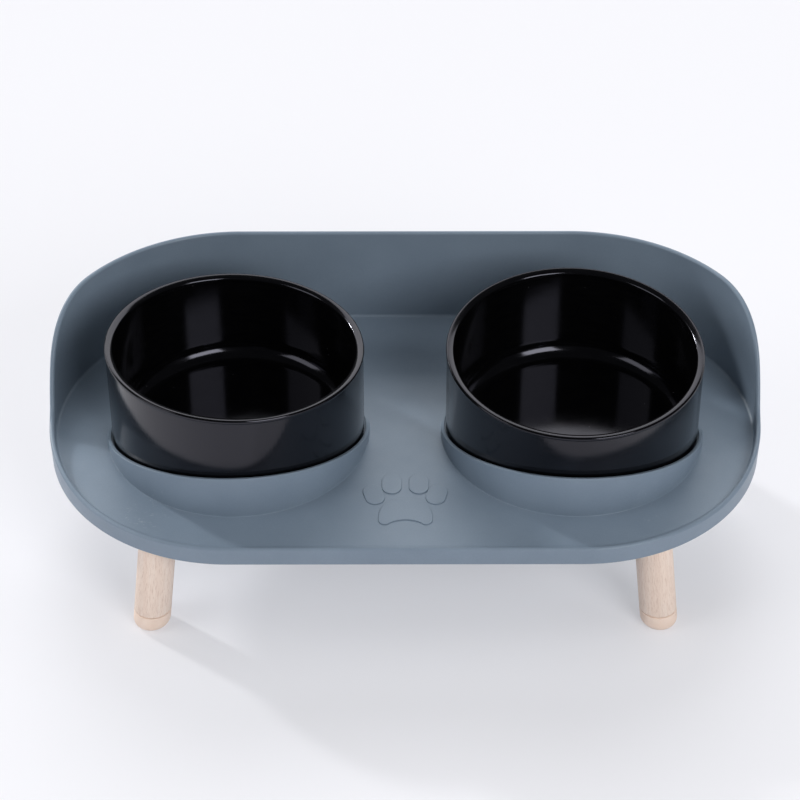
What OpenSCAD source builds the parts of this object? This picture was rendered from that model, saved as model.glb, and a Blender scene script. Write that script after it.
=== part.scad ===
// Raised feeding stand for a pet: a moulded tray with a tall splash guard round
// its back, two wedge collars, two black bowls that lift out, and four splayed
// round wooden legs with soft foot caps.
// X runs to the right, Y to the back and Z up. The origin is on the ground,
// under the middle of the tray.

/* [Tray] */
// Distance between the centres of the two round ends
end_spacing = 174; // [160:1:190]
// Radius of the round ends at the bottom edge of the tray
tray_r = 95; // [92:0.5:100]
// How far the wall leans out between the bottom edge and the top of the guard
wall_lean = 1.4; // [0.5:0.1:2.5]
// Thickness of the wall
wall_t = 2.6; // [2:0.1:3.2]
// Height of the tray's bottom edge over the ground
tray_z = 57; // [45:1:75]
// Height of the floor's top face over the bottom edge
floor_h = 9.7; // [9.2:0.1:11]
// Thickness of the floor
floor_t = 2.6; // [2.2:0.1:3]
// Height of the front lip over the bottom edge
lip_h = 10.5; // [10.2:0.1:13]

/* [Splash guard] */
// Height of the guard over the bottom edge
guard_h = 64.3; // [58:0.1:72]
// Where the top edge starts to fall, behind the middle of the tray
fall_y = 57; // [54:0.5:62]
// Radius of the outward curve at the top of the fall
fall_r = 52; // [46:0.5:54]
// Steepest slope of the top edge in degrees
fall_slope = 59; // [52:1:64]
// Radius of the inward curve at the foot of the fall
foot_curve_r = 13; // [8:0.5:16]
// Slope of the top edge in front of the fall in degrees
run_slope = 6.2; // [4:0.1:7]
// Where that slope meets the level front lip, in front of the middle
run_y = 64; // [56:1:72]

/* [Bowl seats] */
// Distance from the middle of the tray to the middle of a bowl
bowl_x = 85.5; // [80:0.5:90]
// How far the bowls sit in front of the middle
bowl_front = 3.2; // [0:0.1:6]
// Clearance all round between a bowl's rim bead and the bore of collar and seat
bowl_play = 0.2; // [0.1:0.05:1]
// Depth of the seat below the floor
seat_depth = 2.5; // [1.5:0.1:2.8]
// Thickness of the seat's bottom
seat_t = 2.4; // [2:0.1:2.6]
// Thickness of the collar
collar_t = 2; // [1.6:0.1:3]
// Height of the collar's sloping edge over the bottom edge, at the bowl's axis
collar_mid_h = 10.5; // [10:0.1:13]
// Slope of the collar's edge in degrees
collar_slope = 19.5; // [14:0.1:21]
// Turn of each collar towards the middle of the tray in degrees
collar_turn = 3; // [0:1:10]

/* [Paw relief] */
// Height of the relief over the floor
relief_h = 0.5; // [0.3:0.1:0.8]
// How far the middle of the main pad lies in front of the middle of the tray
pad_front = 70.4; // [66:0.2:72]
// Radius of the main pad's round back
pad_r = 13.4; // [11:0.1:14]
// How far the pad's two front lobes lie in front of its middle
lobe_front = 2.9; // [2:0.1:4]
// Radius of a front lobe
lobe_r = 3.2; // [2.8:0.1:4]
// Radius of the hollow between the lobes
hollow_r = 14.3; // [12:0.1:18]
// How far the hollow's crest lies in front of the pad's middle
hollow_front = 2.6; // [2:0.1:3.6]
// Radius of a toe's round ends
toe_r = 5; // [4:0.1:5.4]
// Distance between the middles of a toe's two ends
toe_stretch = 4.8; // [3:0.1:6]
// Distance of the inner toes from the paw's middle line
inner_toe_x = 6.8; // [6.2:0.1:8]
// How far the inner toes lie behind the pad's middle
inner_toe_back = 24.2; // [22:0.1:26]
// Distance of the outer toes from the paw's middle line
outer_toe_x = 15.7; // [15:0.1:18]
// How far the outer toes lie behind the pad's middle
outer_toe_back = 16.2; // [14:0.1:18]
// Outward lean of the outer toes in degrees
outer_toe_lean = 14; // [0:1:25]

/* [Bowls] */
// Outer radius of the rim bead
bowl_r = 65; // [60:0.1:67]
// Half the width of the rim bead, which is half round below
bead_r = 2.05; // [1.8:0.05:2.4]
// Radius of the rounded edges of the bead's flat top
rim_edge_r = 0.9; // [0.5:0.1:1.4]
// Thickness of the bowl's wall
bowl_t = 3.4; // [2.8:0.1:3.6]
// Height of the left bowl on its axis, up to the widest part of its rim bead
left_bowl_h = 57.3; // [48:0.1:66]
// Height of the right bowl on its axis, up to the widest part of its rim bead
right_bowl_h = 53.6; // [48:0.1:66]
// How much narrower the wall is at the base than at the rim
bowl_taper = 0.4; // [0:0.1:1]
// Thickness of the bowl's bottom
bowl_floor_t = 5; // [4:0.1:7]
// Radius between the inner wall and the bottom
bowl_inner_r = 9; // [6:0.5:14]
// Radius of the outer edge at the base
bowl_base_r = 3; // [2:0.1:4]
// Height of the hollow under the bowl's bottom
bowl_hollow_h = 1; // [0.5:0.1:1.5]
// Slant of the left bowl's rim in degrees
left_slant = 4.1; // [1:0.1:6]
// Slant of the right bowl's rim in degrees
right_slant = 3.4; // [1:0.1:6]
// Direction of the low side of the left bowl's rim in degrees
left_low = 51; // [0:1:359]
// Direction of the low side of the right bowl's rim in degrees
right_low = 278; // [0:1:359]

/* [Legs] */
// Radius of a leg
leg_r = 9.4; // [8:0.1:10.5]
// Splay of a leg from upright in degrees
leg_splay = 8.8; // [6:0.1:11]
// Direction of the splay from the side of the tray in degrees
splay_turn = 45; // [35:1:55]
// How far the middle of a foot lies inside the tray's end
foot_end_in = 52.9; // [50:0.1:60]
// How far the middle of a foot lies inside the tray's front and back
foot_side_in = 19.4; // [18.5:0.1:26]
// Height of the leg's top over the tray's bottom edge
leg_top_h = 1; // [0.5:0.1:1.5]
// Height of the foot cap
cap_h = 9.5; // [8:0.1:11]
// Radius of the foot cap's round outline over its rounded edge
cap_out_r = 10.4; // [10:0.1:11]
// Radius of the rounding under the foot cap
cap_round_r = 4.5; // [3:0.1:5]
// Height of the groove over the foot cap
groove_h = 0.6; // [0.4:0.1:1]
// Depth of that groove
groove_d = 0.5; // [0.3:0.1:0.8]

/* [Leg fastenings] */
// Radius of the hanger bolt
bolt_r = 3; // [2.5:0.1:3.5]
// Length of the bolt in the wood
bolt_wood_l = 18; // [14:0.5:24]
// Plastic left between the insert and the level of the bowl seats
insert_cover = 0.5; // [0.3:0.1:1.2]
// Thickness of the insert's closed end
insert_end_t = 1; // [0.6:0.1:1.4]
// Outer radius of the threaded insert
insert_r = 4.5; // [4:0.1:5]
// Radius of the boss under the floor
boss_r = 12; // [11:0.1:13]
// Radius of the cap's peg
peg_r = 3; // [2.5:0.1:3.5]
// Length of the cap's peg over the cap
peg_l = 8; // [6:0.5:12]

/* [Hidden] */
$fn = 96;
half_gap = end_spacing / 2;
foot_x = half_gap + tray_r - foot_end_in;
foot_y = tray_r - foot_side_in;
seat_r = bowl_r + bowl_play;
floor_z = tray_z + floor_h;
seat_z = floor_z - seat_depth;
top_r = tray_r + wall_lean;
fine_gap = 0.05;          // clearance round fastenings that stay put
reach = 2 * tray_r;       // longer than the tray's depth, for cutting tools
over_cut = tray_z / 50;   // how far a cutting tool runs past the face it opens
leg_top_z = tray_z + leg_top_h;
leg_axis_l = leg_top_z / cos(leg_splay);
insert_l = (floor_h - seat_depth - leg_top_h - insert_cover - insert_r * sin(leg_splay))
    / cos(leg_splay);         // the insert's tilted end stays under the seats
flank_share = 0.985;      // the paw's straight flanks stay this share of their round ends
blue = [0.40, 0.46, 0.53];
black = [0.05, 0.05, 0.06];
beech = [0.85, 0.78, 0.73];
brass = [0.78, 0.62, 0.32];
steel = [0.70, 0.71, 0.73];
cap_beige = [0.83, 0.76, 0.71];

// Points of the guard's side outline. Its three straight stretches and two arcs meet at a small
// angle, so each arc's middle lies a little less than its radius from the lines it joins.
crest_turn = 4;
near_share = cos(crest_turn);
curve_z = guard_h - fall_r * near_share;
fall_end = [fall_y, curve_z] + fall_r * near_share * [-sin(fall_slope), cos(fall_slope)];
corner_y = (lip_h + run_y * tan(run_slope) - fall_end[1] + fall_end[0] * tan(fall_slope))
    / (tan(fall_slope) - tan(run_slope));
corner = [corner_y, lip_h + (corner_y + run_y) * tan(run_slope)];
foot_tangent = foot_curve_r * near_share * tan((fall_slope - run_slope) / 2);
run_end = corner - foot_tangent * [cos(run_slope), sin(run_slope)];
fall_foot = corner + foot_tangent * [cos(fall_slope), sin(fall_slope)];
foot_centre = run_end + foot_curve_r * near_share * [-sin(run_slope), cos(run_slope)];

// A block with two round ends whose wall leans evenly from r_low to r_high.
module round_ended(z_low, z_high, r_low, r_high) {
    for (side = [-1, 1])
        translate([side * half_gap, 0, z_low])
            cylinder(h = z_high - z_low, r1 = r_low, r2 = r_high);
    translate([-half_gap, 0, 0])
        rotate([90, 0, 90])
            linear_extrude(height = end_spacing)
                polygon([[-r_low, z_low], [r_low, z_low], [r_high, z_high], [-r_high, z_high]]);
}

// Radius of the tray's outer wall at a height over its bottom edge.
function wall_r(h) = tray_r + wall_lean * h / guard_h;

// What the guard's top edge is cut away by, seen from the side and run along the tray.
module above_top_edge() {
    over = guard_h + tray_r;
    translate([-reach, 0, tray_z])
        rotate([90, 0, 90])
            linear_extrude(height = 2 * reach)
                difference() {
                    union() {
                        polygon([[-reach, lip_h], [-run_y, lip_h], run_end, fall_foot, fall_end,
                                 [fall_y, guard_h], [fall_y, over], [-reach, over]]);
                        translate(foot_centre) circle(r = foot_curve_r);
                    }
                    translate([fall_y, curve_z]) circle(r = fall_r, $fn = 180);
                }
}

// Wall all round, from the bottom edge up to the guard's top edge.
module guard_wall() {
    difference() {
        round_ended(tray_z, tray_z + guard_h, tray_r, top_r);
        round_ended(tray_z - over_cut, tray_z + guard_h + over_cut,
                    wall_r(-over_cut) - wall_t, wall_r(guard_h + over_cut) - wall_t);
        above_top_edge();
    }
}

// Floor plate, let a little way into the wall.
module floor_plate() {
    round_ended(floor_z - floor_t, floor_z,
                wall_r(floor_h - floor_t) - wall_t / 2, wall_r(floor_h) - wall_t / 2);
}

// Space over a collar: above its sloping edge in front, down to the middle of the floor's
// thickness behind.
module above_collar() {
    sunk_h = floor_h - floor_t / 2;
    meet_y = (collar_mid_h - sunk_h) / tan(collar_slope);
    front_h = sunk_h + (reach + meet_y) * tan(collar_slope);
    translate([-reach, 0, tray_z])
        rotate([90, 0, 90])
            linear_extrude(height = 2 * reach)
                polygon([[-reach, front_h], [meet_y, sunk_h], [reach, sunk_h],
                         [reach, 2 * front_h], [-reach, 2 * front_h]]);
}

// One seat and its wedge collar, tall in front and running out into the floor beside the bowl.
module seat_body(side) {
    translate([side * bowl_x, -bowl_front, 0])
        difference() {
            translate([0, 0, seat_z - seat_t])
                cylinder(h = tray_z + guard_h - seat_z + seat_t, r = seat_r + collar_t);
            rotate([0, 0, -side * collar_turn]) above_collar();
        }
}

// Moves a shape made round the Z axis onto the axis of one leg, with zero at the leg's top.
module on_leg(sx, sy) {
    translate([sx * foot_x, sy * foot_y, 0])
        rotate([0, 0, sx > 0 ? sy * splay_turn : 180 - sy * splay_turn])
            rotate([0, -leg_splay, 0])
                translate([0, 0, leg_axis_l])
                    children();
}

// One toe of the paw, a round-ended bar.
module toe() {
    union() {
        for (end = [-1, 1]) translate([0, end * toe_stretch / 2]) circle(r = toe_r);
        square([2 * toe_r * flank_share, toe_stretch], center = true);
    }
}

// The main pad: a half disc on a short block, two round lobes in front and a hollow between them.
module pad() {
    lobe_x = pad_r - lobe_r;
    flank = pad_r * flank_share;
    difference() {
        union() {
            difference() {
                circle(r = pad_r);
                translate([-pad_r, -2 * pad_r]) square(2 * pad_r);
            }
            translate([-flank, -lobe_front]) square([2 * flank, 2 * lobe_front]);
            translate([-lobe_x, -lobe_front - lobe_r / 2]) square([2 * lobe_x, lobe_front + lobe_r / 2]);
            for (side = [-1, 1]) translate([side * lobe_x, -lobe_front]) circle(r = lobe_r);
        }
        translate([0, -hollow_front - hollow_r]) circle(r = hollow_r);
    }
}

module paw_outline() {
    pad();
    for (side = [-1, 1]) {
        translate([side * inner_toe_x, inner_toe_back]) toe();
        translate([side * outer_toe_x, outer_toe_back]) rotate([0, 0, -side * outer_toe_lean]) toe();
    }
}

module paw_relief() {
    translate([0, -pad_front, floor_z - relief_h])
        linear_extrude(height = 2 * relief_h) paw_outline();
}

// Boss under the floor that holds one leg's insert.
module boss(sx, sy) {
    intersection() {
        on_leg(sx, sy) cylinder(h = floor_h + boss_r, r = boss_r);
        translate([-reach, -reach, tray_z - boss_r])
            cube([2 * reach, 2 * reach, floor_h + boss_r - floor_t / 2]);
    }
}

module tray() {
    color(blue)
        difference() {
            union() {
                guard_wall();
                floor_plate();
                for (side = [-1, 1]) seat_body(side);
                for (sx = [-1, 1], sy = [-1, 1]) boss(sx, sy);
                paw_relief();
            }
            for (side = [-1, 1])
                translate([side * bowl_x, -bowl_front, seat_z])
                    cylinder(h = guard_h, r = seat_r);
            for (sx = [-1, 1], sy = [-1, 1])
                on_leg(sx, sy)
                    translate([0, 0, -over_cut])
                        cylinder(h = insert_l + over_cut, r = insert_r + fine_gap);
        }
}

// Side outline of the rim bead, half round below and flat on top with rounded edges.
module rim_profile() {
    flat = bead_r - rim_edge_r;
    union() {
        intersection() {
            circle(r = bead_r, $fn = 48);
            translate([-bead_r, -bead_r]) square([2 * bead_r, bead_r]);
        }
        translate([-flat, 0]) square([2 * flat, rim_edge_r]);
        for (side = [-1, 1])
            intersection() {
                translate([side * flat, 0]) circle(r = rim_edge_r, $fn = 48);
                translate([side > 0 ? flat : -bead_r, 0]) square(rim_edge_r);
            }
    }
}

// A bowl of the given height, its rim slanting down towards the given direction.
module bowl(bowl_h, rim_slant, low_side) {
    wall_out = bowl_r - bead_r + bowl_t / 2;
    base_out = wall_out - bowl_taper;
    wall_in = wall_out - bowl_t;
    base_in = base_out - bowl_t;
    tall = bowl_h + bowl_r * sin(rim_slant);
    foot_ring_r = base_out - 2 * bowl_base_r - bowl_t;
    color(black)
        union() {
            difference() {
                rotate_extrude($fn = 180)
                    difference() {
                        union() {
                            polygon([[0, 0], [base_out - bowl_base_r, 0],
                                     [base_out - bowl_base_r, bowl_base_r],
                                     [base_out, bowl_base_r], [wall_out, tall], [0, tall]]);
                            intersection() {
                                translate([base_out - bowl_base_r, bowl_base_r]) circle(r = bowl_base_r);
                                square([base_out, bowl_base_r]);
                            }
                        }
                        polygon([[0, bowl_floor_t], [base_in - bowl_inner_r, bowl_floor_t],
                                 [base_in - bowl_inner_r, bowl_floor_t + bowl_inner_r],
                                 [base_in, bowl_floor_t + bowl_inner_r], [wall_in, tall + over_cut],
                                 [0, tall + over_cut]]);
                        intersection() {
                            translate([base_in - bowl_inner_r, bowl_floor_t + bowl_inner_r])
                                circle(r = bowl_inner_r);
                            translate([0, bowl_floor_t]) square([base_in, bowl_inner_r]);
                        }
                        translate([0, -over_cut]) square([foot_ring_r, over_cut + bowl_hollow_h]);
                    }
                translate([0, 0, bowl_h])
                    rotate([0, 0, low_side])
                        rotate([0, rim_slant, 0])
                            translate([-reach, -reach, 0]) cube([2 * reach, 2 * reach, reach]);
            }
            translate([0, 0, bowl_h])
                rotate([0, 0, low_side])
                    rotate([0, rim_slant, 0])
                        rotate_extrude($fn = 180)
                            translate([bowl_r - bead_r, 0]) rim_profile();
        }
}

module left_bowl() translate([-bowl_x, -bowl_front, seat_z])
    bowl(left_bowl_h, left_slant, left_low);
module right_bowl() translate([bowl_x, -bowl_front, seat_z])
    bowl(right_bowl_h, right_slant, right_low);

// A leg ends level over its foot cap, with a thin groove between them.
module leg(sx, sy) {
    color(beech)
        difference() {
            intersection() {
                on_leg(sx, sy)
                    translate([0, 0, -leg_axis_l]) cylinder(h = leg_axis_l, r = leg_r);
                union() {
                    translate([-reach, -reach, cap_h + groove_h]) cube([2 * reach, 2 * reach, tray_z]);
                    translate([sx * foot_x, sy * foot_y, cap_h]) groove_core(sx, sy, 2 * groove_h);
                }
            }
            on_leg(sx, sy)
                translate([0, 0, -bolt_wood_l - over_cut])
                    cylinder(h = bolt_wood_l + 2 * over_cut, r = bolt_r + fine_gap);
            on_leg(sx, sy)
                translate([0, 0, -leg_axis_l])
                    cylinder(h = cap_h + peg_l + over_cut, r = peg_r + fine_gap);
        }
}

// Core left standing in the groove, a little narrower than the leg.
module groove_core(sx, sy, h) {
    shift = (cap_h + h / 2) * tan(leg_splay);
    turn = sx > 0 ? sy * splay_turn : 180 - sy * splay_turn;
    translate([-shift * cos(turn), -shift * sin(turn), 0])
        cylinder(h = h, r = leg_r - groove_d);
}

module hanger_bolt(sx, sy) {
    color(steel)
        on_leg(sx, sy)
            translate([0, 0, -bolt_wood_l])
                cylinder(h = bolt_wood_l + insert_l - insert_end_t, r = bolt_r);
}

module insert(sx, sy) {
    color(brass)
        on_leg(sx, sy)
            difference() {
                cylinder(h = insert_l, r = insert_r);
                translate([0, 0, -over_cut])
                    cylinder(h = over_cut + insert_l - insert_end_t, r = bolt_r + fine_gap);
            }
}

// Side outline of the foot cap, its lower edge rounded.
module cap_profile() {
    union() {
        square([cap_out_r - cap_round_r, cap_h]);
        translate([0, cap_round_r]) square([2 * cap_out_r, cap_h - cap_round_r]);
        intersection() {
            translate([cap_out_r - cap_round_r, cap_round_r]) circle(r = cap_round_r);
            square([cap_out_r, cap_round_r]);
        }
    }
}

// Soft foot cap, level underneath, held by a peg in the leg.
module foot_cap(sx, sy) {
    color(cap_beige)
        union() {
            intersection() {
                on_leg(sx, sy)
                    translate([0, 0, -leg_axis_l - leg_r]) cylinder(h = leg_axis_l, r = leg_r);
                translate([sx * foot_x, sy * foot_y, 0]) rotate_extrude() cap_profile();
            }
            intersection() {
                on_leg(sx, sy)
                    translate([0, 0, -leg_axis_l]) cylinder(h = cap_h + peg_l, r = peg_r);
                translate([-reach, -reach, cap_round_r]) cube([2 * reach, 2 * reach, tray_z]);
            }
        }
}

module front_left_leg() leg(-1, -1);
module front_right_leg() leg(1, -1);
module back_left_leg() leg(-1, 1);
module back_right_leg() leg(1, 1);
module front_left_bolt() hanger_bolt(-1, -1);
module front_right_bolt() hanger_bolt(1, -1);
module back_left_bolt() hanger_bolt(-1, 1);
module back_right_bolt() hanger_bolt(1, 1);
module front_left_insert() insert(-1, -1);
module front_right_insert() insert(1, -1);
module back_left_insert() insert(-1, 1);
module back_right_insert() insert(1, 1);
module front_left_cap() foot_cap(-1, -1);
module front_right_cap() foot_cap(1, -1);
module back_left_cap() foot_cap(-1, 1);
module back_right_cap() foot_cap(1, 1);

tray();
left_bowl();
right_bowl();
front_left_leg();
front_right_leg();
back_left_leg();
back_right_leg();
front_left_bolt();
front_right_bolt();
back_left_bolt();
back_right_bolt();
front_left_insert();
front_right_insert();
back_left_insert();
back_right_insert();
front_left_cap();
front_right_cap();
back_left_cap();
back_right_cap();
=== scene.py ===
import math

import bmesh
import bpy
from mathutils import Matrix, Quaternion, Vector


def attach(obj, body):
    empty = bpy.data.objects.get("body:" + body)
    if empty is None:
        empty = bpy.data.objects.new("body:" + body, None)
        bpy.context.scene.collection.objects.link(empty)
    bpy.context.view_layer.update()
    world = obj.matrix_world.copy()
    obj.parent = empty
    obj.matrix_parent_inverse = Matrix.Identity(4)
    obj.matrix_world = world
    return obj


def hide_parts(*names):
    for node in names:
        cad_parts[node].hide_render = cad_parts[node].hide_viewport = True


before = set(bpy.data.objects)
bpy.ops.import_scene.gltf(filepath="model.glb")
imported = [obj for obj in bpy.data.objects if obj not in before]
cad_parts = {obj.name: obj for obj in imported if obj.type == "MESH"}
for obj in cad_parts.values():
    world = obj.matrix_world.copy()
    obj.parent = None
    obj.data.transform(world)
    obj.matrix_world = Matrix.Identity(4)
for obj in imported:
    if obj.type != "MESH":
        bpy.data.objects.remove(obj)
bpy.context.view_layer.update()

mm = 0.001


# Camera: it looks down at the open front from about 1.3 m away, far enough that the round ends
# keep their shape. Its place was worked out from the outlines of the stand.
camera_place = Vector((-2.71, -1015.78, 915.52)) * mm
camera_aim = Vector((-2.60, 0, 83.63)) * mm
camera_roll = math.radians(-0.073)
camera_lens = 115.51
camera_near = 10 * mm
camera_far = 50

bpy.ops.object.select_all(action="DESELECT")
bpy.ops.object.camera_add(location=camera_place)
camera = bpy.context.object
camera.data.lens = camera_lens
camera.data.clip_start = camera_near
camera.data.clip_end = camera_far
camera.rotation_mode = "QUATERNION"
aim_turn = (camera_aim - camera_place).to_track_quat("-Z", "Y")
camera.rotation_quaternion = aim_turn @ Quaternion((0, 0, 1), camera_roll)
bpy.context.scene.camera = camera


# Studio: a white sweep under and behind the stand, lit by large soft lamps. The stand's own
# shadow stays on the sweep, and the room's white is seen by the camera and lights nothing.
def linear(hex_colour):
    """An sRGB hex colour as linear red, green, blue and alpha."""
    shares = [int(hex_colour[i:i + 2], 16) / 255 for i in (0, 2, 4)]
    return [s / 12.92 if s <= 0.04045 else ((s + 0.055) / 1.055) ** 2.4 for s in shares] + [1]


def add_node(tree, kind, settings=None, **sockets):
    """A node with its settings, such as a ramp's stops, and its sockets given values or nodes."""
    node = tree.nodes.new("ShaderNode" + kind)
    for name, value in (settings or {}).items():
        if name == "stops":
            while len(node.color_ramp.elements) < len(value):
                node.color_ramp.elements.new(0.5)
            for stop, (at, hex_colour) in zip(node.color_ramp.elements, value):
                stop.position = at
                stop.color = linear(hex_colour)
        else:
            setattr(node, name, value)
    for name, value in sockets.items():
        place = int(name[1:]) if name[0] == "i" and name[1:].isdigit() else name.replace("_", " ")
        if isinstance(value, bpy.types.Node):
            value = next(output for output in value.outputs if output.enabled)
        if isinstance(value, bpy.types.NodeSocket):
            tree.links.new(value, node.inputs[place])
        else:
            node.inputs[place].default_value = value
    return node


def new_material(name):
    """An empty node material and its tree."""
    made = bpy.data.materials.new(name)
    made.use_nodes = True
    made.node_tree.nodes.clear()
    return made, made.node_tree


floor_span = 6.0
bpy.ops.mesh.primitive_plane_add(size=floor_span, location=(0, 0, 0))
sweep = bpy.context.object
sweep.name = "sweep"

# Matt coated paper, smooth and nearly white. It is mostly lit like any paper, and partly plain
# white to the camera and to reflections, so that it doesn't turn grey away from the stand.
paper_white_share = 0.38
paper, tree = new_material("white_paper")
light_path = add_node(tree, "LightPath")
shown = add_node(tree, "Math", {"operation": "MAXIMUM"}, i0=light_path.outputs["Is Camera Ray"],
                 i1=light_path.outputs["Is Glossy Ray"])
paper_diffuse = add_node(tree, "BsdfDiffuse", Color=linear("ededf2"))
paper_white = add_node(tree, "Emission", Color=linear("f8f8fc"), Strength=1.0)
seen = add_node(tree, "MixShader", Fac=paper_white_share, i1=paper_diffuse, i2=paper_white)
paper_mix = add_node(tree, "MixShader", Fac=shown, i1=paper_diffuse, i2=seen)
add_node(tree, "OutputMaterial", Surface=paper_mix)
sweep.data.materials.append(paper)

world = bpy.data.worlds.new("studio")
bpy.context.scene.world = world
world.use_nodes = True
tree = world.node_tree
tree.nodes.clear()
light_path = add_node(tree, "LightPath")
room_light = add_node(tree, "Background", Color=linear("f4f7fc"), Strength=0.05)
room_white = add_node(tree, "Background", Color=linear("fafafa"), Strength=1.0)
room = add_node(tree, "MixShader", Fac=light_path.outputs["Is Camera Ray"],
                i1=room_light, i2=room_white)
add_node(tree, "OutputWorld", Surface=room)
bpy.context.scene.view_settings.view_transform = "Standard"

# Three large lamps show in the gloss of the bowls. A small low key far behind the left end, which
# shows there too, gives the stand its shadow edge. The other light is soft and far away: it lights
# the surfaces evenly and is kept out of the gloss.
lamps = {
    "back": {"place": (0, 3.84, 2.69), "size": (9.0, 2.0), "power": 103},
    "left": {"place": (-2.0, -0.8, 1.43), "size": (1.3, 1.3), "power": 10},
    "front_right": {"place": (1.24, -1.95, 1.5), "size": (1.3, 1.3), "power": 31},
}
far_lamps = {
    "key": {"place": (-2.24, 1.88, 1.3), "spread": 5, "strength": 1.35, "in_gloss": True},
    "back_fill": {"place": (0, 2.4, 2.24), "spread": 32, "strength": 1.0, "in_gloss": False},
    "top_fill": {"place": (0, 0.1, 2.6), "spread": 40, "strength": 0.4, "in_gloss": False},
    "front_fill": {"place": (0, -2.4, 1.0), "spread": 35, "strength": 0.18, "in_gloss": False},
    "left_fill": {"place": (-2.4, -0.4, 1.2), "spread": 35, "strength": 0.5, "in_gloss": False},
    "right_fill": {"place": (2.4, -0.2, 1.2), "spread": 35, "strength": 0.36, "in_gloss": False},
}


def hang_lamp(kind, name, place, power):
    """A lamp of a kind at a place, turned to the stand."""
    bpy.ops.object.light_add(type=kind, location=place)
    light = bpy.context.object
    light.name = name
    light.data.energy = power
    light.visible_camera = False
    light.rotation_mode = "QUATERNION"
    light.rotation_quaternion = (-Vector(place)).to_track_quat("-Z", "Y")
    return light


for lamp_name, lamp in lamps.items():
    light = hang_lamp("AREA", lamp_name, lamp["place"], lamp["power"])
    light.data.shape = "RECTANGLE"
    light.data.size, light.data.size_y = lamp["size"]
for lamp_name, lamp in far_lamps.items():
    light = hang_lamp("SUN", lamp_name, lamp["place"], lamp["strength"])
    light.data.angle = math.radians(lamp["spread"])
    light.visible_glossy = lamp["in_gloss"]


# Tray: one injection moulding of matt plastic that carries everything else. Its wall leans out a
# little, runs low along the front and rises into the splash guard behind, and its top edge is
# fully rounded. Floor, seats, collars and leg bosses are moulded with it.
half_gap = 87 * mm
tray_r = 95 * mm
wall_lean = 1.4 * mm
wall_t = 2.6 * mm
tray_z = 57 * mm
floor_h = 9.7 * mm
floor_t = 2.6 * mm
lip_h = 10.5 * mm
guard_h = 64.3 * mm
fall_y = 57 * mm
fall_r = 52 * mm
fall_slope = math.radians(59)
foot_curve_r = 13 * mm
run_slope = math.radians(6.2)
run_y = 64 * mm
floor_z = tray_z + floor_h
inner_fillet = 1.6 * mm
valley_w = 0.5 * mm
skirt_fillet = 1.5 * mm
skirt_in_edge = 0.6 * mm
skirt_out_edge = 0.8 * mm
edge_round = wall_t / 2
edge_drop_share = 0.7
fillet_share = 0.3
slope_step = 0.1 * mm
wall_steps = 240
close = 0.01 * mm
smooth_angle = 35


def edge_height(y):
    """Height of the top edge over the bottom edge, at a place from front to back."""
    fall_top_y = fall_y - fall_r * math.sin(fall_slope)
    fall_top_h = guard_h - fall_r * (1 - math.cos(fall_slope))
    corner_y = ((lip_h + run_y * math.tan(run_slope) - fall_top_h + fall_top_y * math.tan(fall_slope))
                / (math.tan(fall_slope) - math.tan(run_slope)))
    tangent = foot_curve_r * math.tan((fall_slope - run_slope) / 2)
    run_end_y = corner_y - tangent * math.cos(run_slope)
    fall_foot_y = corner_y + tangent * math.cos(fall_slope)
    if y >= fall_y:
        return guard_h
    if y >= fall_top_y:
        return guard_h - fall_r + math.sqrt(fall_r ** 2 - (fall_y - y) ** 2)
    if y >= fall_foot_y:
        return fall_top_h + (y - fall_top_y) * math.tan(fall_slope)
    if y >= run_end_y:
        run_end_h = lip_h + (run_end_y + run_y) * math.tan(run_slope)
        middle_y = run_end_y - foot_curve_r * math.sin(run_slope)
        middle_h = run_end_h + foot_curve_r * math.cos(run_slope)
        return middle_h - math.sqrt(foot_curve_r ** 2 - (y - middle_y) ** 2)
    return lip_h + max(0, y + run_y) * math.tan(run_slope)


def wall_out(height):
    """Radius of the wall's outer face at a height over the bottom edge."""
    return tray_r + wall_lean * height / guard_h


def arc(middle, radius, start, end, steps):
    """Points of an arc in a flat drawing, from one angle to another in degrees."""
    angles = [math.radians(start + (end - start) * i / steps) for i in range(steps + 1)]
    return [(middle[0] + radius * math.cos(a), middle[1] + radius * math.sin(a)) for a in angles]


def draw_line(name, points):
    """One vertex drawn out through the points to a line, left all selected in edit mode."""
    bpy.ops.object.select_all(action="DESELECT")
    bpy.ops.mesh.primitive_plane_add(size=mm, location=points[0])
    piece = bpy.context.object
    piece.name = name
    bpy.ops.object.transform_apply()
    bpy.ops.object.mode_set(mode="EDIT")
    bpy.ops.mesh.select_all(action="SELECT")
    bpy.ops.mesh.merge(type="CENTER")
    for here, there in zip(points, points[1:]):
        step = Vector(there) - Vector(here)
        bpy.ops.mesh.extrude_vertices_move(TRANSFORM_OT_translate={"value": step})
    bpy.ops.mesh.select_all(action="SELECT")
    return piece


def pick(piece, kind, wanted):
    """Selects, in edit mode, only the vertices, edges or faces that are wanted."""
    shape = bmesh.from_edit_mesh(piece.data)
    bpy.ops.mesh.select_all(action="DESELECT")
    for item in getattr(shape, kind):
        if wanted(item):
            item.select_set(True)
    shape.select_flush_mode()
    bmesh.update_edit_mesh(piece.data)


def end_edit(piece, angle=smooth_angle):
    """Merges doubles, turns all faces outwards and shades the piece smooth up to an angle."""
    bpy.ops.mesh.select_all(action="SELECT")
    bpy.ops.mesh.remove_doubles(threshold=close)
    bpy.ops.mesh.normals_make_consistent(inside=False)
    bpy.ops.object.mode_set(mode="OBJECT")
    bpy.ops.object.shade_smooth_by_angle(angle=math.radians(angle))


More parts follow.
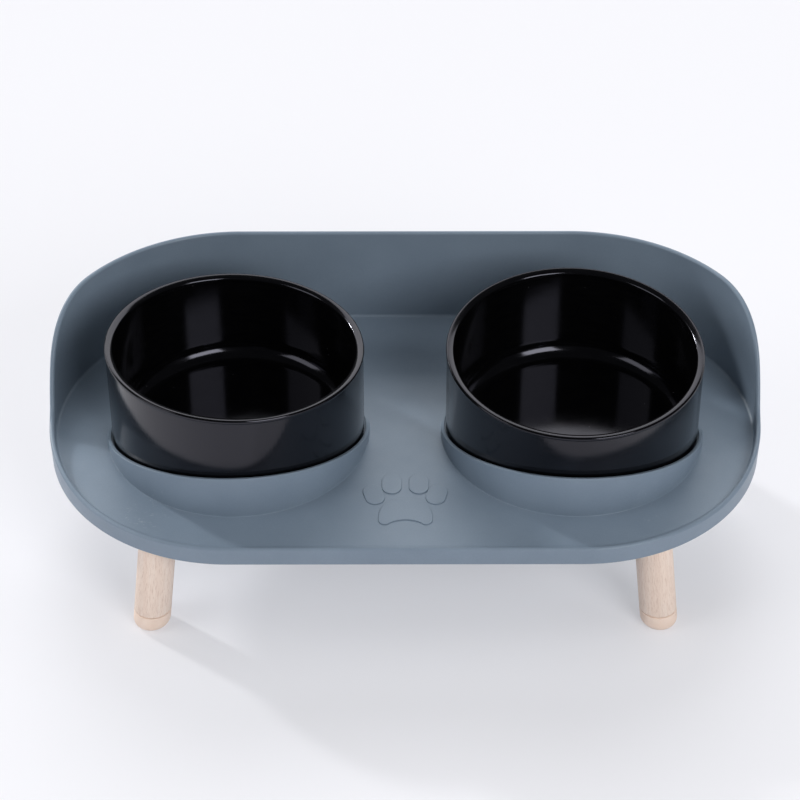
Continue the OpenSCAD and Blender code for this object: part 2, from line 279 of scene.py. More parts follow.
rim_mid_r = wall_out(guard_h) - edge_round
wall_in_r = wall_out(floor_h) - wall_t
skirt_r = tray_r - wall_t
under_z = floor_z - floor_t
wall_side = (
    arc((skirt_r - skirt_fillet, under_z - skirt_fillet), skirt_fillet, 90, 0, 4)
    + arc((skirt_r + skirt_in_edge, tray_z + skirt_in_edge), skirt_in_edge, 180, 270, 3)
    + arc((tray_r - skirt_out_edge, tray_z + skirt_out_edge), skirt_out_edge, 270, 360, 4)
    + arc((rim_mid_r, tray_z + guard_h - edge_round), edge_round, 0, 180, 12)
    + arc((wall_in_r - inner_fillet, floor_z + inner_fillet), inner_fillet, 0, -90, 8)
)
tray = draw_line("tray_shell", [(half_gap, -r, z) for r, z in wall_side])
bpy.ops.mesh.spin(steps=wall_steps, angle=-math.pi, center=(half_gap, 0, 0), axis=(0, 0, 1))


def edge_slope(y):
    """Slope of the top edge, as a rise for each length forward or back."""
    return (edge_height(y + slope_step) - edge_height(y - slope_step)) / (2 * slope_step)


# The spun wall has its full height all round. Its rounded top comes down to the top edge of its
# place, and the fillet inside shrinks with the height that is left over the floor.
for vert in bmesh.from_edit_mesh(tray.data).verts:
    out = Vector((vert.co.x - half_gap, vert.co.y))
    reach = out.length
    out.normalize()
    height = edge_height(out.y * reach)
    left = height - floor_h
    drop = tray_z + guard_h - vert.co.z
    if drop < edge_round + close:
        side = reach - rim_mid_r
        reach = wall_out(height) - edge_round + side
        height = edge_height(out.y * reach)
        stretch = math.hypot(1, edge_slope(out.y * reach))
        if side < 0:
            stretch = min(stretch, edge_drop_share * left / edge_round)
        vert.co.z = tray_z + height - drop * stretch
    elif vert.co.z > floor_z - close:
        fillet = min(1, fillet_share * left / inner_fillet)
        reach = wall_in_r - (wall_in_r - reach) * max(valley_w / inner_fillet, fillet)
        vert.co.z = floor_z + (vert.co.z - floor_z) * fillet
    vert.co.x = half_gap + out.x * reach
    vert.co.y = out.y * reach
pick(tray, "verts", lambda v: v.co.x < half_gap + close)
bpy.ops.mesh.extrude_region_move(TRANSFORM_OT_translate={"value": (-half_gap, 0, 0)})

# Seats: each is a shallow round recess in the floor that a bowl drops into. Its wedge collar
# stands up in front of the bowl and runs out into the floor beside it. Both are moulded with the
# tray, in the same plastic.
bowl_x = 85.5 * mm
bowl_front = 3.2 * mm
seat_r = 65.2 * mm
seat_z = floor_z - 2.5 * mm
seat_t = 2.4 * mm
collar_t = 2 * mm
collar_mid = 0.8 * mm
collar_slope = math.tan(math.radians(19.5))
collar_turn = math.radians(3)
collar_edge = 0.45 * mm
collar_fillet = 0.35 * mm
collar_ref = 30 * mm
collar_round_share = 0.5
collar_run_out = 0.5 * mm
seat_fillet = 1 * mm
seat_border = 3 * mm
round_steps = 192
collar_out_r = seat_r + collar_t
collar_side = (
    [(seat_r - seat_border, seat_z)]
    + arc((seat_r - seat_fillet, seat_z + seat_fillet), seat_fillet, -90, 0, 4)
    + arc((seat_r + collar_edge, floor_z + collar_ref - collar_edge), collar_edge, 180, 90, 5)
    + arc((collar_out_r - collar_edge, floor_z + collar_ref - collar_edge), collar_edge, 90, 0, 5)
    + arc((collar_out_r + collar_fillet, floor_z + collar_fillet), collar_fillet, 180, 270, 5)
)
bpy.ops.object.mode_set(mode="OBJECT")
seat = draw_line("seat", [(bowl_x, -bowl_front - r, z) for r, z in collar_side])
bpy.ops.mesh.spin(steps=round_steps, angle=-2 * math.pi, center=(bowl_x, -bowl_front, 0),
                  axis=(0, 0, 1))
bpy.ops.mesh.remove_doubles(threshold=close)

# The spun collar stands far too high. Its top comes down to the sloping edge of its place, and it
# runs out softly where that edge meets the floor.
for vert in bmesh.from_edit_mesh(seat.data).verts:
    out = Vector((vert.co.x - bowl_x, vert.co.y + bowl_front))
    reach = out.length
    out.normalize()
    back = reach * (out.y * math.cos(collar_turn) + out.x * math.sin(collar_turn))
    rise = collar_mid - back * collar_slope
    rise = (rise + math.hypot(rise, collar_run_out)) / 2
    drop = floor_z + collar_ref - vert.co.z
    if drop < collar_edge + close:
        outer = reach > seat_r + collar_t / 2
        flatter = min(1, collar_round_share * rise / collar_edge) if outer else 1
        vert.co.z = floor_z + rise - drop * flatter
    elif reach > collar_out_r - close:
        fillet = min(1, collar_round_share * rise / collar_fillet)
        reach = collar_out_r + (reach - collar_out_r) * fillet
        vert.co.z = floor_z + (vert.co.z - floor_z) * fillet
    vert.co.x = bowl_x + out.x * reach
    vert.co.y = -bowl_front + out.y * reach
pick(seat, "edges", lambda e: e.is_boundary and all(v.co.z < floor_z - close for v in e.verts))
bpy.ops.mesh.edge_face_add()
bpy.ops.object.mode_set(mode="OBJECT")


def join(pieces):
    """Joins pieces into the first one."""
    bpy.ops.object.select_all(action="DESELECT")
    for piece in pieces:
        piece.select_set(True)
    bpy.context.view_layer.objects.active = pieces[0]
    bpy.ops.object.join()
    return pieces[0]


def finish_with(piece, kind, **settings):
    """Adds a modifier with its settings and applies it."""
    bpy.ops.object.select_all(action="DESELECT")
    piece.select_set(True)
    bpy.context.view_layer.objects.active = piece
    modifier = piece.modifiers.new(kind, kind)
    for name, value in settings.items():
        setattr(modifier, name, value)
    bpy.ops.object.modifier_apply(modifier=modifier.name)


# Floor and underside: the right half with its seat is mirrored, then the floor is filled between
# the wall and the two seats, and the underside from wall to wall.
join([tray, seat])
finish_with(tray, "MIRROR", use_axis=(True, False, False), merge_threshold=close)
bpy.ops.object.mode_set(mode="EDIT")
for level in (floor_z, under_z):
    pick(tray, "edges",
         lambda e: e.is_boundary and all(abs(v.co.z - level) < close for v in e.verts))
    bpy.ops.mesh.fill()
end_edit(tray)

# Underside: each seat shows as a shallow round disc, and near each corner a round boss with a
# threaded insert takes one leg. They are moulded with the tray too.
seat_under = seat_z - seat_t
disc_edge = 0.8 * mm
disc_sunk = 0.5 * mm
leg_r = 9.4 * mm
leg_splay = math.radians(8.8)
splay_turn = math.radians(45)
foot_x = 129.1 * mm
foot_y = 75.6 * mm
leg_in_tray = 1 * mm
leg_axis_l = (tray_z + leg_in_tray) / math.cos(leg_splay)
boss_r = 12 * mm
boss_h = 6.4 * mm
boss_edge = 0.6 * mm
level_share = 0.99
corners = {"front_left": (-1, -1), "front_right": (1, -1),
           "back_left": (-1, 1), "back_right": (1, 1)}


def leg_frame(side_x, side_y):
    """Puts a shape made upright at the origin onto a leg's axis, its foot on the ground."""
    way = math.atan2(side_y * math.sin(splay_turn), side_x * math.cos(splay_turn))
    place = Matrix.Translation((side_x * foot_x, side_y * foot_y, 0))
    return place @ Matrix.Rotation(way, 4, "Z") @ Matrix.Rotation(-leg_splay, 4, "Y")


def round_bar(name, radius, low, high, bevel, middle=(0, 0)):
    """An upright round bar with both its ends' edges bevelled."""
    bpy.ops.object.select_all(action="DESELECT")
    bpy.ops.mesh.primitive_cylinder_add(vertices=96, radius=radius, depth=high - low,
                                        location=(*middle, (low + high) / 2))
    piece = bpy.context.object
    piece.name = name
    bpy.ops.object.transform_apply()
    bpy.ops.object.mode_set(mode="EDIT")
    pick(piece, "faces", lambda f: abs(f.normal.z) > level_share)
    bpy.ops.mesh.bevel(offset=bevel, segments=4, affect="EDGES")
    end_edit(piece)
    return piece


def put(piece, matrix):
    """Moves the mesh itself, so that the object stays at the origin."""
    piece.matrix_world = matrix
    bpy.ops.object.select_all(action="DESELECT")
    piece.select_set(True)
    bpy.context.view_layer.objects.active = piece
    bpy.ops.object.transform_apply()


under_parts = [
    round_bar("seat_disc", collar_out_r, seat_under, floor_z - disc_sunk, disc_edge,
              (side * bowl_x, -bowl_front))
    for side in (-1, 1)
]
for side_x, side_y in corners.values():
    boss = round_bar("boss", boss_r, leg_axis_l, leg_axis_l + boss_h, boss_edge)
    put(boss, leg_frame(side_x, side_y))
    under_parts.append(boss)

# Paw relief: a common paw figure of one pad and four toes, a little over half a millimetre proud
# of the floor with softly rounded edges. The mould has it cut in, so it is the tray's own plastic.
relief_h = 0.6 * mm
relief_edge = 0.3 * mm
pad_front = 70.4 * mm
pad_r = 13.4 * mm
lobe_front = 2.9 * mm
lobe_r = 3.2 * mm
hollow_r = 14.3 * mm
hollow_front = 2.6 * mm
toe_r = 5 * mm
toe_stretch = 4.8 * mm
toes = [(side * x, back, side * lean) for side in (-1, 1)
        for x, back, lean in ((6.8 * mm, 24.2 * mm, 0), (15.7 * mm, 16.2 * mm, 14))]


def raise_figure(name, outline, middle, lean):
    """A flat figure drawn by its outline, stood proud of the floor, its top edge rounded."""
    turned = Matrix.Rotation(-math.radians(lean), 2)
    around = [turned @ Vector(point) + Vector(middle) for point in outline]
    figure = draw_line(name, [(x, y, floor_z - relief_h) for x, y in around])
    bpy.ops.mesh.remove_doubles(threshold=close)
    bpy.ops.mesh.edge_face_add()
    bpy.ops.mesh.extrude_region_move(TRANSFORM_OT_translate={"value": (0, 0, 2 * relief_h)})
    bpy.ops.mesh.bevel(offset=relief_edge, segments=4, affect="EDGES")
    end_edit(figure)
    return figure


toe_outline = (arc((0, toe_stretch / 2), toe_r, 0, 180, 24)
               + arc((0, -toe_stretch / 2), toe_r, 180, 360, 24))
lobe_x = pad_r - lobe_r
lobe_end = math.degrees(math.atan2(lobe_front - hollow_front - hollow_r, lobe_x)) + 360
hollow_end = lobe_end - 180
pad_outline = (
    arc((0, 0), pad_r, 0, 180, 40)
    + arc((-lobe_x, -lobe_front), lobe_r, 180, lobe_end, 12)
    + arc((0, -hollow_front - hollow_r), hollow_r, hollow_end, 180 - hollow_end, 24)[1:-1]
    + arc((lobe_x, -lobe_front), lobe_r, 540 - lobe_end, 360, 12)
)
figures = [raise_figure("pad", pad_outline, (0, -pad_front), 0)]
figures += [raise_figure("toe", toe_outline, (x, back - pad_front), lean) for x, back, lean in toes]
join([tray] + under_parts + figures)
tray.name = "tray_shell"
finish_with(tray, "WEIGHTED_NORMAL", keep_sharp=True)
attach(tray, "stand")
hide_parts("tray")

# Polypropylene, injection moulded against a finely etched mould: a dull sheen, a faint cloudiness
# and speckle in the colour, and light scuffs where the floor and the right collar have been
# handled. The mould's grain is about a tenth of a millimetre; it is drawn coarser, as fine as it
# can show.
cloud_size = 34 * mm
cloud_depth = 0.12 * mm
speckle_size = 0.9 * mm
grain_size = 0.35 * mm
grain_depth = 0.012 * mm
sheen_size = 6 * mm
scratch_turn = math.radians(24)
scratch_cell = (7 * mm, 1.1 * mm, 4 * mm)
scratch_bend_size = 5 * mm
scratch_gap_size = 2.6 * mm
scuffs = [
    {"middle": (-129 * mm, -67.5 * mm, 66.7 * mm), "full_r": 9 * mm, "end_r": 17 * mm},
    {"middle": (122 * mm, -68 * mm, 74 * mm), "full_r": 6 * mm, "end_r": 12 * mm},
]
plastic, tree = new_material("moulded_matt_polypropylene")
place = add_node(tree, "TexCoord").outputs["Object"]
cloud = add_node(tree, "TexNoise", Vector=place, Scale=1 / cloud_size, Detail=3.0, Roughness=0.55)
speckle = add_node(tree, "TexNoise", Vector=place, Scale=1 / speckle_size, Detail=2.0, Roughness=0.55)
grain = add_node(tree, "TexNoise", Vector=place, Scale=1 / grain_size, Detail=2.0, Roughness=0.55)
tint = add_node(tree, "ValToRGB", {"stops": [(0.3, "788797"), (0.7, "7f8e9e")]}, Fac=cloud)
speckled = add_node(tree, "MapRange", Value=speckle, From_Min=0.35, From_Max=0.65, To_Max=0.12)
tint = add_node(tree, "Mix", {"data_type": "RGBA"}, i0=speckled, i6=tint, i7=linear("69757f"))
turned = add_node(tree, "Mapping", Vector=place, Rotation=(0, 0, scratch_turn),
                  Scale=[1 / size for size in scratch_cell])
bend = add_node(tree, "TexNoise", Vector=place, Scale=1 / scratch_bend_size)
wavy = add_node(tree, "VectorMath", {"operation": "ADD"}, i0=turned, i1=bend.outputs[1])
cell_edge = add_node(tree, "TexVoronoi", {"feature": "DISTANCE_TO_EDGE"}, Vector=wavy, Scale=1.0)
line = add_node(tree, "MapRange", Value=cell_edge, From_Max=0.07, To_Min=1.0, To_Max=0.0)
breaks = add_node(tree, "TexNoise", Vector=place, Scale=1 / scratch_gap_size, Detail=3.0, Roughness=0.55)
unbroken = add_node(tree, "MapRange", Value=breaks, From_Min=0.55, From_Max=0.66)
scratch = add_node(tree, "Math", {"operation": "MULTIPLY"}, i0=line, i1=unbroken)
worn = 0.0
for scuff in scuffs:
    away = add_node(tree, "VectorMath", {"operation": "DISTANCE"}, i0=place, i1=scuff["middle"])
    near = add_node(tree, "MapRange", Value=away, From_Min=scuff["full_r"], From_Max=scuff["end_r"],
                    To_Min=1.0, To_Max=0.0)
    worn = add_node(tree, "Math", {"operation": "MAXIMUM"}, i0=worn, i1=near)
scratch = add_node(tree, "Math", {"operation": "MULTIPLY"}, i0=scratch, i1=worn)
paler = add_node(tree, "Math", {"operation": "MULTIPLY"}, i0=scratch, i1=0.3)
tint = add_node(tree, "Mix", {"data_type": "RGBA"}, i0=paler, i6=tint, i7=linear("c3ccd4"))
sheen = add_node(tree, "TexNoise", Vector=place, Scale=1 / sheen_size, Detail=3.0, Roughness=0.55)
dull = add_node(tree, "MapRange", Value=sheen, From_Min=0.3, From_Max=0.7, To_Min=0.38, To_Max=0.46)
rougher = add_node(tree, "Math", {"operation": "MULTIPLY"}, i0=scratch, i1=0.15)
dull = add_node(tree, "Math", {"operation": "ADD"}, i0=dull, i1=rougher)
swells = add_node(tree, "Bump", Height=cloud, Distance=cloud_depth, Strength=1.0)
skin = add_node(tree, "Bump", Height=grain, Distance=grain_depth, Strength=1.0, Normal=swells)
shine = add_node(tree, "BsdfPrincipled", Base_Color=tint, Roughness=dull, IOR=1.49, Normal=skin)
add_node(tree, "OutputMaterial", Surface=shine)
tray.data.materials.clear()
tray.data.materials.append(plastic)


# Bowls: two round glossy black bowls, glazed all over, with a straight wall, a low foot ring and a
# thick rim with a gently crowned top. Each is one piece and is dropped loose into its seat, and
# the two differ a little in height and in the slant of the rim.
bead_r = 2.05 * mm
rim_edge_r = 0.9 * mm
bead_mid_r = 62.95 * mm
bowl_t = 3.4 * mm
bowl_taper = 0.1 * mm
bowl_floor_t = 5 * mm
bowl_inner_r = 9 * mm
bowl_base_r = 3 * mm
bowl_hollow_h = 1 * mm
bowl_foot_edge = 0.6 * mm
flat_hold = 1 * mm
rim_crown_turn = 25
rim_crown_end = math.radians(rim_crown_turn)
rim_lip_r = 1.5 * mm
flare_top_share = 0.7
upright_share = 0.05
bowl_smooth_angle = 25
bowls = {
    "left_bowl": {"side": -1, "height": 57.3 * mm, "slant": math.radians(4.1),
                  "low": math.radians(51), "flare": math.radians(3.2)},
    "right_bowl": {"side": 1, "height": 53.6 * mm, "slant": math.radians(3.4),
                   "low": math.radians(278), "flare": math.radians(6.3)},
}

# The rim's rounded outer edge runs into the crown, and the crown into the soft lip inside.
bowl_out_r = bead_mid_r + bowl_t / 2
bowl_base_out = bowl_out_r - bowl_taper
bowl_base_in = bowl_base_out - bowl_t
foot_ring_r = bowl_base_out - 2 * bowl_base_r - bowl_t
bead_meet = math.degrees(math.asin((bowl_t / 2) / bead_r))
rim_flat = bead_r - rim_edge_r
rim_crown_w = rim_flat + bead_r - rim_lip_r * (1 - math.sin(rim_crown_end))
rim_crown_r = rim_crown_w / math.sin(rim_crown_end)
rim_crown_drop = rim_crown_r * (1 - math.cos(rim_crown_end))
rim_lip_drop = rim_crown_drop + rim_lip_r * math.cos(rim_crown_end) - rim_edge_r


def bowl_side(height):
    """Side view of half a bowl, from the middle of its underside round the rim to its inside."""
    return (
        [(0, bowl_hollow_h), (foot_ring_r - flat_hold, bowl_hollow_h), (foot_ring_r, bowl_hollow_h)]
        + arc((foot_ring_r + bowl_foot_edge, bowl_foot_edge), bowl_foot_edge, 180, 270, 3)
        + [(bowl_base_out - bowl_base_r - flat_hold, 0)]
        + arc((bowl_base_out - bowl_base_r, bowl_base_r), bowl_base_r, 270, 360, 8)
        + arc((bead_mid_r, height), bead_r, bead_meet - 90, 0, 8)
        + arc((bead_mid_r + rim_flat, height), rim_edge_r, 0, 90, 8)
        + arc((bead_mid_r + rim_flat, height + rim_edge_r - rim_crown_r), rim_crown_r,
              90, 90 + rim_crown_turn, 10)
        + arc((bead_mid_r - bead_r + rim_lip_r, height - rim_lip_drop), rim_lip_r,
              90 + rim_crown_turn, 180, 10)
        + arc((bead_mid_r, height - rim_lip_drop), bead_r, 180, 270 - bead_meet, 8)
        + arc((bowl_base_in - bowl_inner_r, bowl_floor_t + bowl_inner_r), bowl_inner_r, 0, -90, 12)
        + [(bowl_base_in - bowl_inner_r - flat_hold, bowl_floor_t), (0, bowl_floor_t)]
    )


# Black glaze, poured on and fired smooth: a deep black with sharp reflections that waver a little,
# faint wiping marks in its sheen and a few specks of dust. A real speck is a tenth of a millimetre
# across and is drawn about three times as wide, or it wouldn't show.
glaze_wave_size = 11 * mm
glaze_wave_depth = 0.02 * mm
smear_size = 3.5 * mm
smear_stretch = (3.0, 3.0, 0.6)
dust_spacing = 5 * mm
glaze, tree = new_material("gloss_black_glaze")
place = add_node(tree, "TexCoord").outputs["Object"]
wave = add_node(tree, "TexNoise", Vector=place, Scale=1 / glaze_wave_size, Detail=1.0, Roughness=0.55)
stretched = add_node(tree, "VectorMath", {"operation": "DIVIDE"}, i0=place, i1=smear_stretch)
smear = add_node(tree, "TexNoise", Vector=stretched, Scale=1 / smear_size, Detail=3.0, Roughness=0.55)
dull = add_node(tree, "MapRange", Value=smear, From_Min=0.35, From_Max=0.7, To_Min=0.10, To_Max=0.15)
cells = add_node(tree, "TexVoronoi", Vector=place, Scale=1 / dust_spacing)
speck = add_node(tree, "MapRange", Value=cells.outputs["Distance"], From_Min=0.03, From_Max=0.045,
                 To_Min=1.0, To_Max=0.0)
chosen = add_node(tree, "SeparateColor", Color=cells.outputs["Color"])
dusty = add_node(tree, "MapRange", Value=chosen, From_Min=0.72, From_Max=0.78, To_Max=0.5)
speck = add_node(tree, "Math", {"operation": "MULTIPLY"}, i0=speck, i1=dusty)
tint = add_node(tree, "ValToRGB", {"stops": [(0.3, "040405"), (0.7, "070708")]}, Fac=smear)
tint = add_node(tree, "Mix", {"data_type": "RGBA"}, i0=speck, i6=tint, i7=linear("8e8d90"))
skin = add_node(tree, "Bump", Height=wave, Distance=glaze_wave_depth, Strength=1.0)
# The faint lilac specular tint is painted light: it gives the bowls' reflections the cool cast of the
# room's light.
shine = add_node(tree, "BsdfPrincipled", Base_Color=tint, Roughness=dull, IOR=1.5,
                 Specular_Tint=linear("ececff"), Normal=skin)
add_node(tree, "OutputMaterial", Surface=shine)

for bowl_name, made in bowls.items():
    bowl = draw_line(bowl_name + "_shell", [(r, 0, z) for r, z in bowl_side(made["height"])])
    bpy.ops.mesh.spin(steps=round_steps, angle=-2 * math.pi, center=(0, 0, 0), axis=(0, 0, 1))
    pick(bowl, "edges", lambda e: abs(e.verts[0].co.z - e.verts[1].co.z) < close and all(
        abs(v.co.xy.length - bowl_out_r) < bowl_taper + close and v.co.z > bowl_base_r - close
        for v in e.verts))
    bpy.ops.mesh.mark_sharp()
    pick(bowl, "verts", lambda v: v.co.z > made["height"] - rim_lip_drop - bead_r - close)
    bpy.ops.transform.rotate(value=-made["slant"], orient_axis="Y",
                             center_override=(0, 0, made["height"]))
    end_edit(bowl, bowl_smooth_angle)
    finish_with(bowl, "WEIGHTED_NORMAL", keep_sharp=True)
    seated = Matrix.Translation((made["side"] * bowl_x, -bowl_front, seat_z))
    put(bowl, seated @ Matrix.Rotation(made["low"], 4, "Z"))
    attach(bowl, bowl_name)
    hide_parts(bowl_name)
    bowl.data.materials.append(glaze)

    # The real wall flares out by a hair towards the rim, which only its reflections show. The
    # corner normals of the outer wall lean down for that, and the shape stays straight.
    leaning = [corner.vector.copy() for corner in bowl.data.corner_normals]
    flare = Vector((0, 0, math.tan(made["flare"])))
    for face in bowl.data.polygons:
        upright = abs(face.normal.z) < upright_share
        if upright and face.center.z < seat_z + flare_top_share * made["height"]:
            out = face.center - Vector((made["side"] * bowl_x, -bowl_front, face.center.z))
            if out.dot(face.normal) > 0:
                for loop in face.loop_indices:
                    leaning[loop].z = 0
                    leaning[loop] = leaning[loop].normalized() - flare
    bowl.data.normals_split_custom_set(leaning)


# Legs: four round beech dowels, splayed outwards and screwed into the tray's bosses. Each is cut
# level over a soft foot cap of nearly the same colour, pushed on with a peg, and a thin groove is
# left between wood and cap.
cap_h = 9.5 * mm
groove_h = 0.55 * mm
groove_d = 1.6 * mm
cut_edge = 0.35 * mm
cap_round_r = 4.5 * mm
dowel_corners = 96

# Beech, turned, sanded and given a clear matt lacquer. The grain runs along each leg's own axis:
# pale streaks, small darker flecks about 2 mm long, and fine pores. A pore is under a tenth of
# a millimetre wide and is drawn about three times as wide, the finest that still shows.
streak_w = 1.7 * mm
streak_stretch = (1.0, 1.0, 26.0)
streak_depth = 0.03 * mm
figure_w = 9 * mm
figure_stretch = (1.0, 1.0, 9.0)
pore_w = 0.28 * mm
pore_stretch = (1.0, 1.0, 16.0)
pore_depth = 0.015 * mm
fleck_cell = (0.55 * mm, 0.55 * mm, 3.4 * mm)
plank_step = (40 * mm, 70 * mm, 25 * mm)
wood, tree = new_material("lacquered_beech")
place = add_node(tree, "Attribute", {"attribute_name": "along_leg"}).outputs["Vector"]
stretched = add_node(tree, "VectorMath", {"operation": "DIVIDE"}, i0=place, i1=streak_stretch)
streaks = add_node(tree, "TexNoise", Vector=stretched, Scale=1 / streak_w, Detail=4.0, Roughness=0.55)
stretched = add_node(tree, "VectorMath", {"operation": "DIVIDE"}, i0=place, i1=figure_stretch)
figure = add_node(tree, "TexNoise", Vector=stretched, Scale=1 / figure_w, Detail=2.0, Roughness=0.55)
stretched = add_node(tree, "VectorMath", {"operation": "DIVIDE"}, i0=place, i1=pore_stretch)
pores = add_node(tree, "TexNoise", Vector=stretched, Scale=1 / pore_w, Detail=2.0, Roughness=0.55)
stretched = add_node(tree, "VectorMath", {"operation": "DIVIDE"}, i0=place, i1=fleck_cell)
flecks = add_node(tree, "TexVoronoi", Vector=stretched, Scale=1.0)
streaky = [(0.3, "edd7c8"), (0.5, "f2decf"), (0.7, "f5e5d9")]
tint = add_node(tree, "ValToRGB", {"stops": streaky}, Fac=streaks)
darker = add_node(tree, "MapRange", Value=figure, From_Min=0.35, From_Max=0.7, To_Max=0.3)
tint = add_node(tree, "Mix", {"data_type": "RGBA"}, i0=darker, i6=tint, i7=linear("e6cdbb"))
darker = add_node(tree, "MapRange", Value=pores, From_Min=0.55, From_Max=0.68, To_Max=0.6)
tint = add_node(tree, "Mix", {"data_type": "RGBA"}, i0=darker, i6=tint, i7=linear("c6a48f"))
darker = add_node(tree, "MapRange", Value=flecks, From_Min=0.12, From_Max=0.26, To_Min=0.3, To_Max=0.0)
tint = add_node(tree, "Mix", {"data_type": "RGBA"}, i0=darker, i6=tint, i7=linear("d0ae98"))
dull = add_node(tree, "MapRange", Value=streaks, From_Min=0.3, From_Max=0.7, To_Min=0.42, To_Max=0.56)
dips = add_node(tree, "Bump", Height=pores, Distance=pore_depth, Strength=1.0)
skin = add_node(tree, "Bump", Height=streaks, Distance=streak_depth, Strength=1.0, Normal=dips)
shine = add_node(tree, "BsdfPrincipled", Base_Color=tint, Roughness=dull, IOR=1.5, Normal=skin)
add_node(tree, "OutputMaterial", Surface=shine)

# Soft thermoplastic rubber, moulded in the colour of the wood. It has a fine matt skin that takes
# the shine off. The skin's grain is about a tenth of a millimetre and is drawn coarser to show.
rubber_cloud_size = 5 * mm
rubber_sheen_size = 2 * mm
rubber_grain_size = 0.3 * mm
rubber_grain_depth = 0.015 * mm
rubber, tree = new_material("soft_beige_rubber")
place = add_node(tree, "TexCoord").outputs["Object"]
cloud = add_node(tree, "TexNoise", Vector=place, Scale=1 / rubber_cloud_size, Detail=3.0, Roughness=0.55)
tint = add_node(tree, "ValToRGB", {"stops": [(0.3, "f2dac9"), (0.7, "f5e0d1")]}, Fac=cloud)
sheen = add_node(tree, "TexNoise", Vector=place, Scale=1 / rubber_sheen_size, Detail=2.0, Roughness=0.55)
dull = add_node(tree, "MapRange", Value=sheen, From_Min=0.3, From_Max=0.7, To_Min=0.55, To_Max=0.68)
grain = add_node(tree, "TexNoise", Vector=place, Scale=1 / rubber_grain_size, Detail=2.0, Roughness=0.55)
skin = add_node(tree, "Bump", Height=grain, Distance=rubber_grain_depth, Strength=1.0)
shine = add_node(tree, "BsdfPrincipled", Base_Color=tint, Roughness=dull, IOR=1.5, Normal=skin)
add_node(tree, "OutputMaterial", Surface=shine)


def slanting_bar(name, radius, low, high):
    """A round bar on the axis of a leg whose foot is at the origin, cut level at given heights."""
    bpy.ops.object.select_all(action="DESELECT")
    bpy.ops.mesh.primitive_cylinder_add(vertices=dowel_corners, radius=radius, depth=2 * leg_axis_l)
    piece = bpy.context.object
    piece.name = name
    put(piece, Matrix.Rotation(-leg_splay, 4, "Y"))
    bpy.ops.object.mode_set(mode="EDIT")
    for height, keep_up in ((low, True), (high, False)):
        if height is not None:
            bpy.ops.mesh.select_all(action="SELECT")
            bpy.ops.mesh.bisect(plane_co=(0, 0, height), plane_no=(0, 0, 1), use_fill=True,
                                clear_inner=keep_up, clear_outer=not keep_up)
    return piece


for corner, (side_x, side_y) in corners.items():
    stand_at = leg_frame(side_x, side_y) @ Matrix.Rotation(leg_splay, 4, "Y")
    leg = slanting_bar(corner + "_leg_wood", leg_r, cap_h + groove_h, None)
    pick(leg, "faces", lambda f: f.normal.z < -level_share)
    bpy.ops.mesh.bevel(offset=cut_edge, segments=3, affect="EDGES")
    pick(leg, "faces", lambda f: f.normal.z < -level_share and len(f.verts) == dowel_corners)
    bpy.ops.mesh.inset(thickness=groove_d)
    bpy.ops.mesh.extrude_region_move(TRANSFORM_OT_translate={"value": (0, 0, -groove_h)})
    end_edit(leg)
    put(leg, stand_at)
    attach(leg, "stand")
    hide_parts(corner + "_leg")
    leg.data.materials.append(wood)

    # The grain follows the leg, and each leg is cut from another place in the wood.
    out_of_leg = leg_frame(side_x, side_y).inverted()
    shift = Vector(plank_step) * Vector((side_x, side_y, side_x * side_y))
    grain_place = leg.data.attributes.new("along_leg", "FLOAT_VECTOR", "POINT")
    for vert, value in zip(leg.data.vertices, grain_place.data):
        value.vector = out_of_leg @ vert.co + shift

    cap = slanting_bar(corner + "_cap_soft", leg_r, 0, cap_h)
    pick(cap, "faces", lambda f: f.normal.z > level_share)
    bpy.ops.mesh.bevel(offset=cut_edge, segments=3, affect="EDGES")
    pick(cap, "faces", lambda f: f.normal.z < -level_share)
    bpy.ops.mesh.bevel(offset=cap_round_r, segments=8, affect="EDGES")
    end_edit(cap)
    put(cap, stand_at)
    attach(cap, "stand")
    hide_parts(corner + "_cap")
    cap.data.materials.append(rubber)


# Fastenings: a steel hanger bolt, screwed into the top of each leg, and a brass insert, pressed
# into each boss, that the bolt turns into. Both are hidden when the stand is put together, so the
# solids from the CAD stay and only get their finishes.

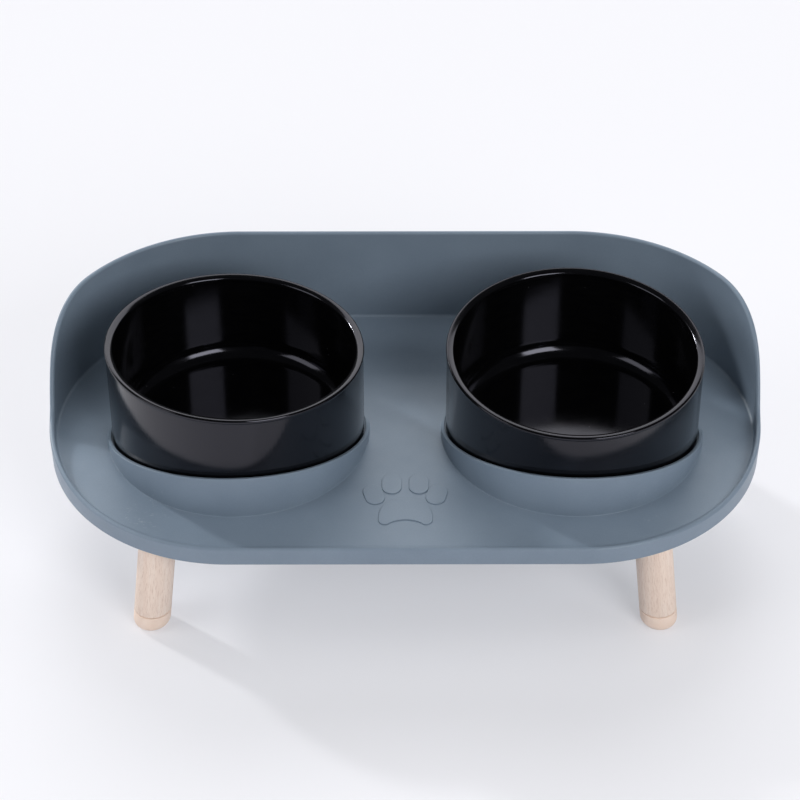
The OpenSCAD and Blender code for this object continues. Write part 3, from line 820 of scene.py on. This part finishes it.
# Steel, zinc plated by barrel: a pale grey shine with a faint bloom.
zinc_bloom_size = 2 * mm
zinc_grain_size = 0.2 * mm
metal_grain_depth = 0.01 * mm
zinc, tree = new_material("zinc_plated_steel")
place = add_node(tree, "TexCoord").outputs["Object"]
bloom = add_node(tree, "TexNoise", Vector=place, Scale=1 / zinc_bloom_size, Detail=3.0, Roughness=0.55)
tint = add_node(tree, "ValToRGB", {"stops": [(0.3, "b4b8bd"), (0.7, "c6c8c9")]}, Fac=bloom)
dull = add_node(tree, "MapRange", Value=bloom, From_Min=0.3, From_Max=0.7, To_Min=0.28, To_Max=0.42)
grain = add_node(tree, "TexNoise", Vector=place, Scale=1 / zinc_grain_size, Detail=2.0, Roughness=0.55)
skin = add_node(tree, "Bump", Height=grain, Distance=metal_grain_depth, Strength=1.0)
shine = add_node(tree, "BsdfPrincipled", Base_Color=tint, Roughness=dull, Metallic=1.0, Normal=skin)
add_node(tree, "OutputMaterial", Surface=shine)

# Brass, turned on a lathe: fine lines run round it and blur its warm shine along its length.
brass_line_size = 0.15 * mm
brass_line_stretch = (12.0, 12.0, 1.0)
brass_cloud_size = 1.5 * mm
turned_brass, tree = new_material("turned_brass")
place = add_node(tree, "TexCoord").outputs["Object"]
stretched = add_node(tree, "VectorMath", {"operation": "DIVIDE"}, i0=place, i1=brass_line_stretch)
lines = add_node(tree, "TexNoise", Vector=stretched, Scale=1 / brass_line_size, Detail=2.0, Roughness=0.55)
cloud = add_node(tree, "TexNoise", Vector=place, Scale=1 / brass_cloud_size, Detail=3.0, Roughness=0.55)
tint = add_node(tree, "ValToRGB", {"stops": [(0.3, "c19c4e"), (0.7, "cfae66")]}, Fac=cloud)
dull = add_node(tree, "MapRange", Value=lines, From_Min=0.3, From_Max=0.7, To_Min=0.22, To_Max=0.36)
skin = add_node(tree, "Bump", Height=lines, Distance=metal_grain_depth, Strength=1.0)
shine = add_node(tree, "BsdfPrincipled", Base_Color=tint, Roughness=dull, Metallic=1.0, Normal=skin)
add_node(tree, "OutputMaterial", Surface=shine)
for corner in corners:
    for end, finish in (("_bolt", zinc), ("_insert", turned_brass)):
        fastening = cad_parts[corner + end]
        fastening.data.materials.clear()
        fastening.data.materials.append(finish)
